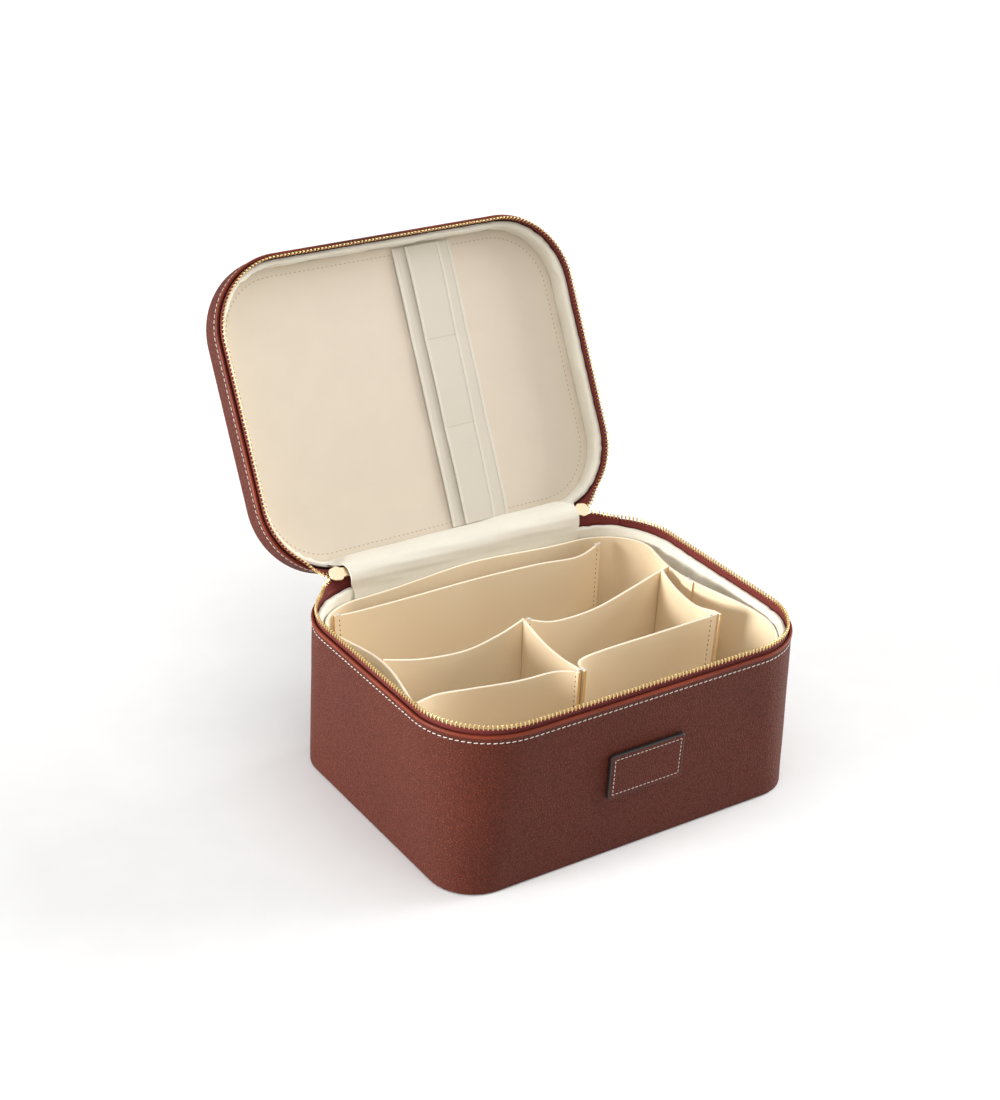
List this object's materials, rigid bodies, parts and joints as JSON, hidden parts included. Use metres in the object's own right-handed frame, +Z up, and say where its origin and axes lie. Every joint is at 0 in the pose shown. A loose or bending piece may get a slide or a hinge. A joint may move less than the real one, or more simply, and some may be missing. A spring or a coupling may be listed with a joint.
{
  "type": "vanity case",
  "caption": "Leather vanity case with a zip-around lid hinged at the back, a lined interior, a lift-out organiser and elastic loops in the lid.",
  "frame": {"origin": "centre of the case's flat underside, where it stands on the table", "axes": "+X to the right along the front, +Y to the back where the lid is hinged, +Z up; the lid is shown open by 118 degrees"},
  "size_m": [0.2408, 0.2955, 0.2665],
  "materials": {
    "brown_leather": "chocolate brown pebbled leather with a low sheen",
    "edge_paint": "leather underside with a black painted edge",
    "board": "grey-brown stiffening board, hidden between leather and lining",
    "cream_cloth": "cream woven lining",
    "cream_suede": "cream brushed panel in the lid",
    "cream_sheet": "tan-cream smooth flexible sheet with rounded edges",
    "elastic": "ribbed cream elastic webbing",
    "zip_tape": "dark maroon twill zip tape",
    "brass": "pale polished brass zip metal"
  },
  "bodies": {
    "case": {"wall_leather": "brown_leather", "bottom_panel": "edge_paint", "wall_board": "board", "floor_board": "board", "wall_lining": "cream_cloth", "floor_lining": "cream_cloth", "base_zip_tape": "zip_tape", "base_zip_chain": "brass", "tag_patch": "brown_leather", "hinge_leather": "brown_leather", "hinge_lining": "cream_cloth"},
    "lid": {"lid_wall_leather": "brown_leather", "lid_top_leather": "brown_leather", "lid_top_board": "board", "lid_wall_board": "board", "lid_wall_lining": "cream_cloth", "lid_panel": "cream_suede", "wide_elastic": "elastic", "narrow_elastic": "elastic", "lid_zip_tape": "zip_tape", "lid_zip_chain": "brass"},
    "zip_end_left_body": {"zip_end_left": "zip_tape"},
    "zip_end_right_body": {"zip_end_right": "zip_tape"},
    "slider_left_body": {"slider_left": "brass"},
    "slider_right_body": {"slider_right": "brass"},
    "pull_left_body": {"pull_left": "brass"},
    "pull_right_body": {"pull_right": "brass"},
    "organiser": {"organiser_band": "cream_sheet", "organiser_pocket": "cream_sheet", "divider_mid_left": "cream_sheet", "divider_mid_right": "cream_sheet", "divider_centre": "cream_sheet", "divider_right": "cream_sheet", "divider_front_left": "cream_sheet", "divider_front_right": "cream_sheet"}
  },
  "joints": [
    {"name": "lid_hinge", "type": "hinge", "parent": "case", "child": "lid", "pos_m": [0, 0.0938, 0.103], "axis": [1, 0, 0], "range_deg": [0, 118], "deforming": ["hinge_leather", "hinge_lining"]},
    {"name": "organiser_lift", "type": "slide", "parent": "case", "child": "organiser", "axis": [0, 0, 1], "range_m": [0, 0.015]},
    {"name": "zip_end_turn_left", "type": "hinge", "parent": "case", "child": "zip_end_left_body", "pos_m": [-0.0718, 0.0938, 0.103], "axis": [1, 0, 0], "range_deg": [0, 59]},
    {"name": "slider_travel_left", "type": "slide", "parent": "zip_end_left_body", "child": "slider_left_body", "axis": [-1, 0, 0], "range_m": [0, 0.006]},
    {"name": "pull_swing_left", "type": "hinge", "parent": "slider_left_body", "child": "pull_left_body", "pos_m": [-0.084, 0.09583, 0.09961], "axis": [0, 0.8572, 0.515], "range_deg": [-60, 60]},
    {"name": "zip_end_turn_right", "type": "hinge", "parent": "case", "child": "zip_end_right_body", "pos_m": [0.0718, 0.0938, 0.103], "axis": [1, 0, 0], "range_deg": [0, 59]},
    {"name": "slider_travel_right", "type": "slide", "parent": "zip_end_right_body", "child": "slider_right_body", "axis": [1, 0, 0], "range_m": [0, 0.006]},
    {"name": "pull_swing_right", "type": "hinge", "parent": "slider_right_body", "child": "pull_right_body", "pos_m": [0.084, 0.09583, 0.09961], "axis": [0, 0.8572, 0.515], "range_deg": [-60, 60]}
  ],
  "couplings": [
    {"joint": "zip_end_turn_left", "follows": "lid_hinge", "ratio": 0.5},
    {"joint": "zip_end_turn_right", "follows": "lid_hinge", "ratio": 0.5}
  ]
}
